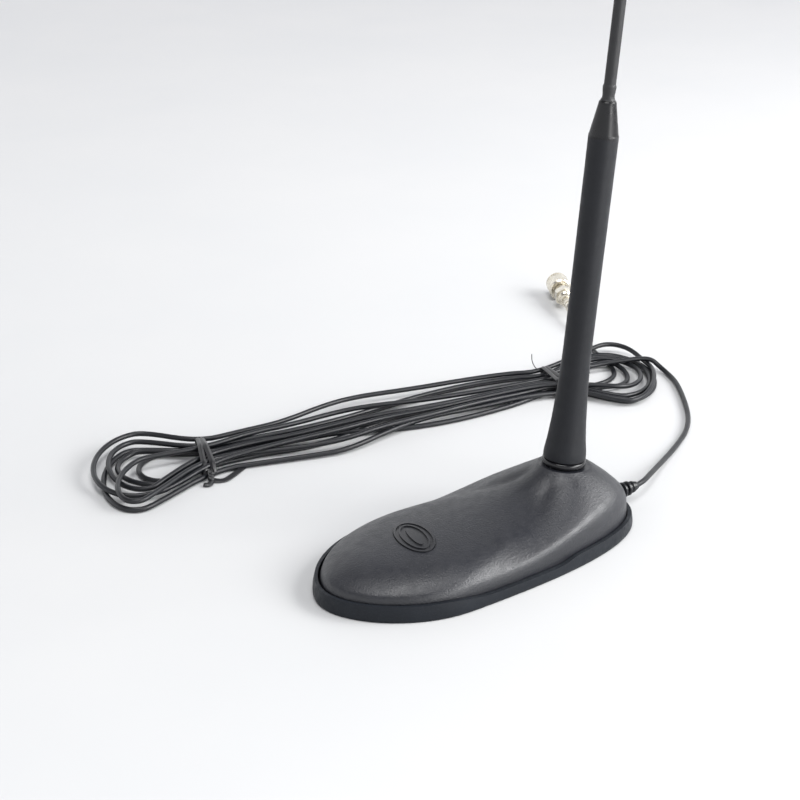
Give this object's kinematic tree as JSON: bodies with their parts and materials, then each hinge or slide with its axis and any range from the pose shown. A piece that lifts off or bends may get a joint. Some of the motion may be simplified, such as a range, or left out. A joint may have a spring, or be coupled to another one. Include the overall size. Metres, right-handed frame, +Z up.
{
  "type": "cellular signal booster antenna",
  "caption": "Magnetic-mount vehicle antenna for a cellular signal booster: low egg-shaped base, leaning flared mast with whip, thin coax lead in a tied hank ending in a threaded coax plug.",
  "frame": {"origin": "centre of the magnetic base's underside, where it rests on the roof or a table", "axes": "+Z up, +X from the base's rounded nose towards its cable end, +Y towards the side where the hanked lead lies"},
  "size_m": [0.3824, 0.2921, 0.3407],
  "materials": {
    "housing": "fine moulded texture, satin",
    "badge": "satin, engraved rings",
    "foot_rubber": "matte moulded rubber",
    "seal_rubber": "glossy black rubber",
    "mast_plastic": "satin moulded plastic",
    "cone_plastic": "semi-gloss",
    "whip_rubber": "matte over-moulded sleeve",
    "cable_jacket": "satin PVC jacket",
    "tie_plastic": "coated wire tie",
    "tray_plastic": "matte",
    "magnet_nickel": "nickel plated",
    "zinc_steel": "zinc plated",
    "spring_steel": "drawn wire",
    "brass": "turned",
    "nickel_brass": "nickel plated, turned",
    "copper_wire": null,
    "board_laminate": "solder mask",
    "board_part": "mixed components",
    "nylon": "natural nylon",
    "ptfe": "white PTFE",
    "silicone": "silicone"
  },
  "bodies": {
    "base": {"upper_shell": "housing", "badge_medallion": "badge", "rubber_foot": "foot_rubber", "magnet_tray": "tray_plastic", "magnets": "magnet_nickel", "back_plate": "zinc_steel", "shell_screws": "zinc_steel", "board_screws": "zinc_steel", "matching_board": "board_laminate", "board_spacers": "brass", "board_parts": "board_part", "mast_stud": "brass", "stud_bush": "nylon", "stud_nut": "brass", "feed_terminal": "brass", "feed_wire": "copper_wire", "cable_clamp": "tray_plastic", "inner_cable": "cable_jacket", "strain_relief": "cable_jacket", "cable_lead": "cable_jacket", "cable_hank": "cable_jacket", "cable_tail": "cable_jacket", "tie_left": "tie_plastic", "tie_right": "tie_plastic", "crimp_ferrule": "nickel_brass", "connector_body": "nickel_brass", "dielectric": "ptfe", "centre_pin": "brass", "connector_gasket": "silicone"},
    "seal": {"seal_ring": "seal_rubber"},
    "mast": {"mast_sleeve": "mast_plastic", "mast_insert": "brass", "coil_former": "nylon", "radiator_coil": "copper_wire", "nose_cone": "cone_plastic", "whip_core": "spring_steel", "whip_jacket": "whip_rubber", "whip_tip": "whip_rubber"},
    "connector_nut": {"coupling_nut": "nickel_brass"}
  },
  "joints": [
    {"name": "mast_rise", "type": "slide", "parent": "base", "child": "seal", "axis": [0.0976, 0, 0.9952], "range_m": [0, 0.0096]},
    {"name": "mast_unscrew", "type": "hinge", "parent": "seal", "child": "mast", "pos_m": [0.0525, 0, 0.0332], "axis": [0.0976, 0, 0.9952], "range_deg": [0, 4322]},
    {"name": "nut_spin", "type": "hinge", "parent": "base", "child": "connector_nut", "pos_m": [0.2499, 0.2409, 0.0073], "axis": [0.4782, 0.8783, 0], "continuous": true}
  ],
  "couplings": [
    {"joint": "mast_unscrew", "follows": "mast_rise", "rad_per_m": 7854}
  ]
}
